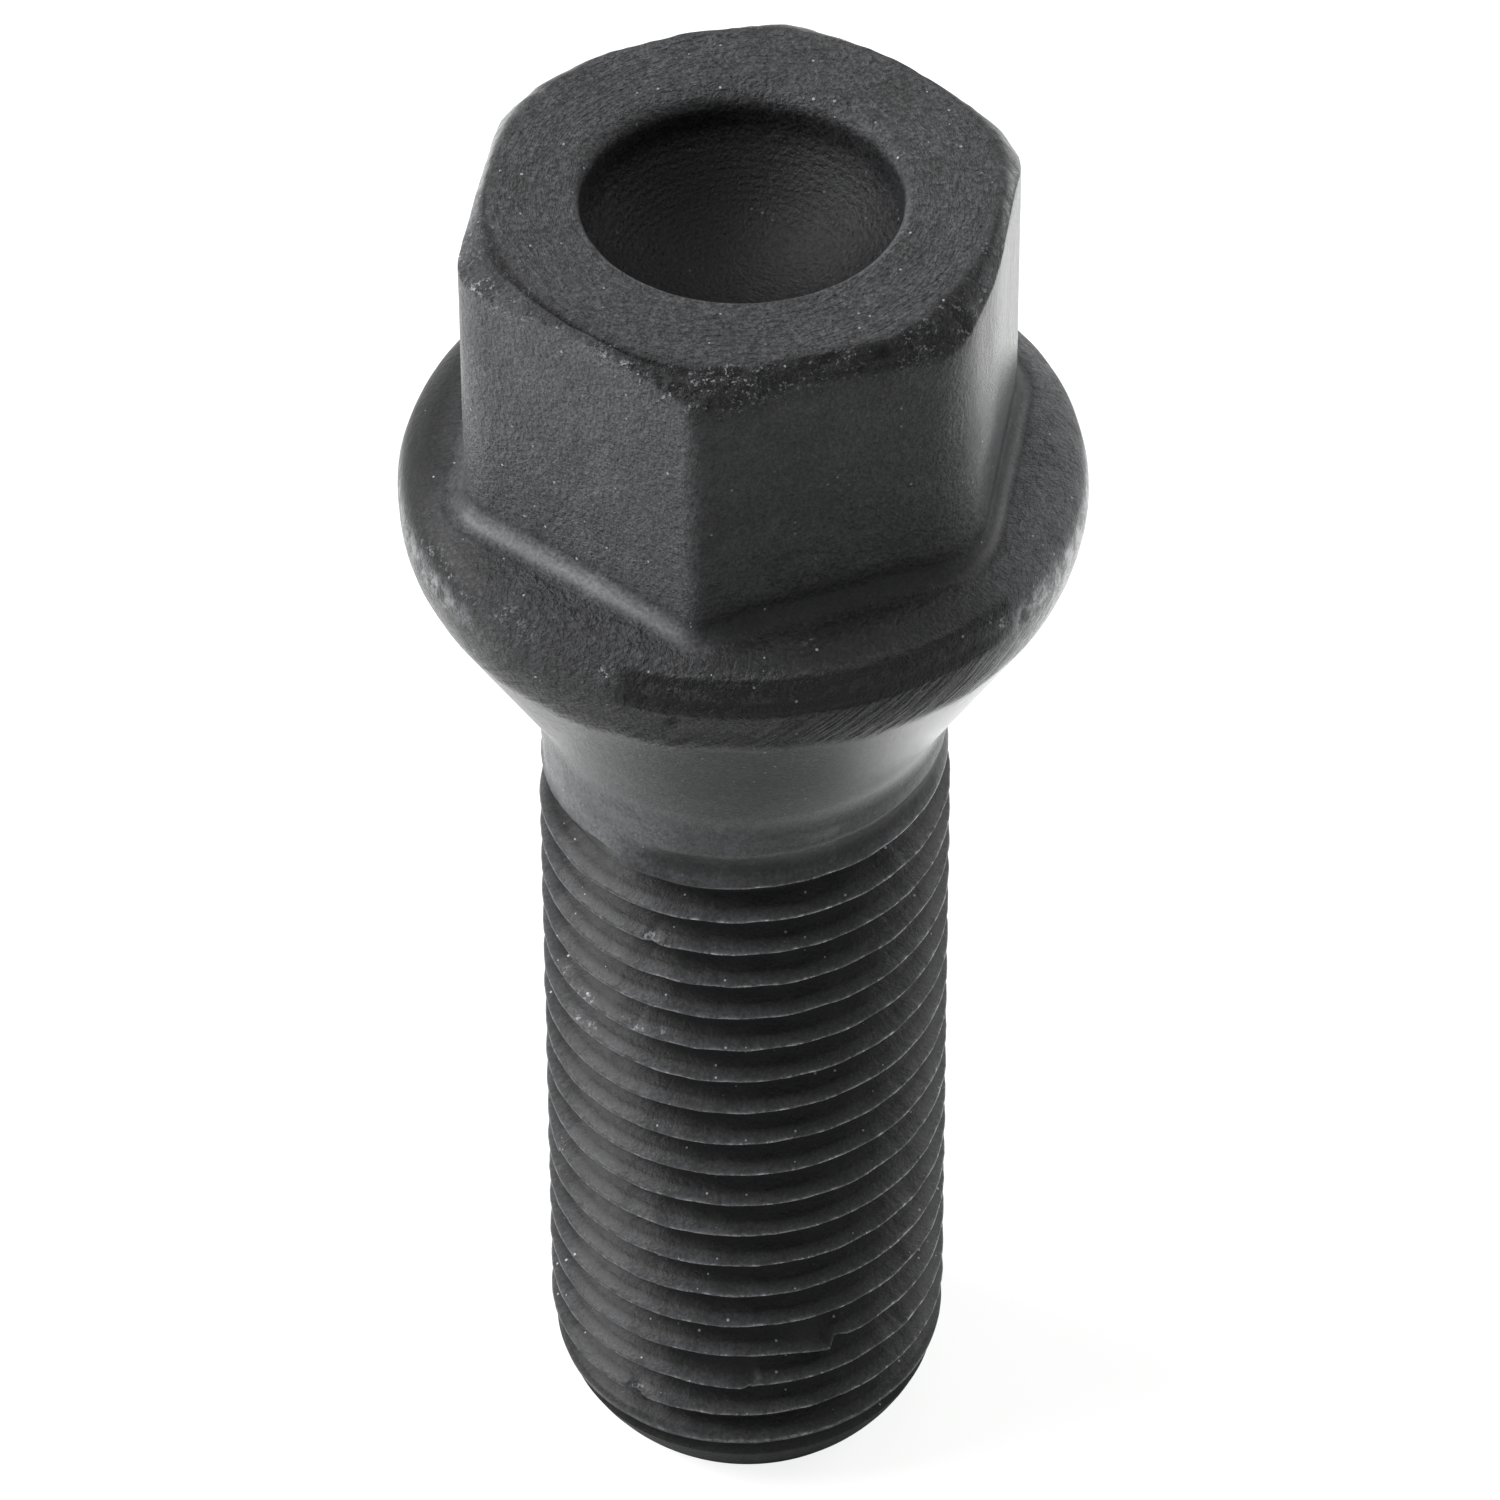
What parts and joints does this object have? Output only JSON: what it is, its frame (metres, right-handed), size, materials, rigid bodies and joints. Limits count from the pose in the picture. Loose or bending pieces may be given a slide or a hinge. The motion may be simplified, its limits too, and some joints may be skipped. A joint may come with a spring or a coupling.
{
  "type": "wheel bolt",
  "caption": "Wheel bolt with a fine thread, a 60 degree conical seat, a round flange and a hollowed hexagon head; it clamps a car wheel to its hub.",
  "frame": {"origin": "centre of the flat end face at the thread's free end", "axes": "+Z along the bolt's axis from the end face to the head; a hexagon corner lies 9.3 degrees towards -X from -Y"},
  "size_m": [0.0226, 0.0226, 0.0541],
  "materials": {
    "black_steel": "satin black phosphate over forged steel"
  },
  "bodies": {
    "root": {"wheel_bolt": "black_steel"}
  },
  "joints": []
}
